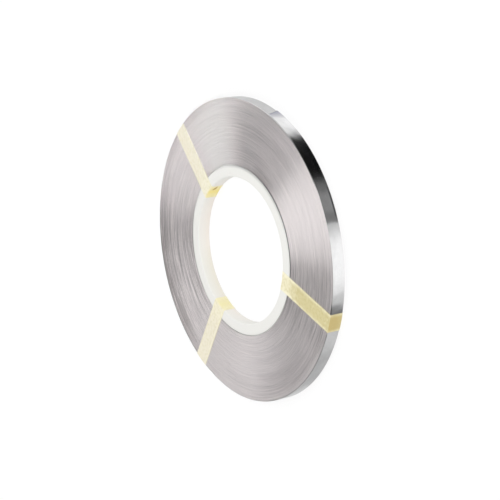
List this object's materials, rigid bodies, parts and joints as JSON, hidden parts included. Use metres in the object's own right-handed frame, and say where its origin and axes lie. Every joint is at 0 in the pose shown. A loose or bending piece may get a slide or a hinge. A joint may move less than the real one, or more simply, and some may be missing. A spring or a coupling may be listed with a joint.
{
  "type": "coil of nickel-plated strip",
  "caption": "Flat coil of thin bright nickel-plated strip wound on a white plastic core ring, held by bands of cream paper masking tape.",
  "frame": {"origin": "on the coil's axis, at the level that the tape bands rest on", "axes": "+Z along the coil's axis, out of the end that faces the viewer in the picture; +Y is up in the picture"},
  "size_m": [0.1569, 0.1569, 0.0074],
  "materials": {
    "nickel_strip": "bright nickel plate, mirror-like on the flat and satin on the slit edges",
    "core_plastic": "satin white plastic",
    "masking_tape": "matte crepe paper"
  },
  "bodies": {
    "root": {"strip_coil": "nickel_strip", "core_ring": "core_plastic", "tape_band_1": "masking_tape", "tape_band_2": "masking_tape", "tape_band_3": "masking_tape"}
  },
  "joints": []
}
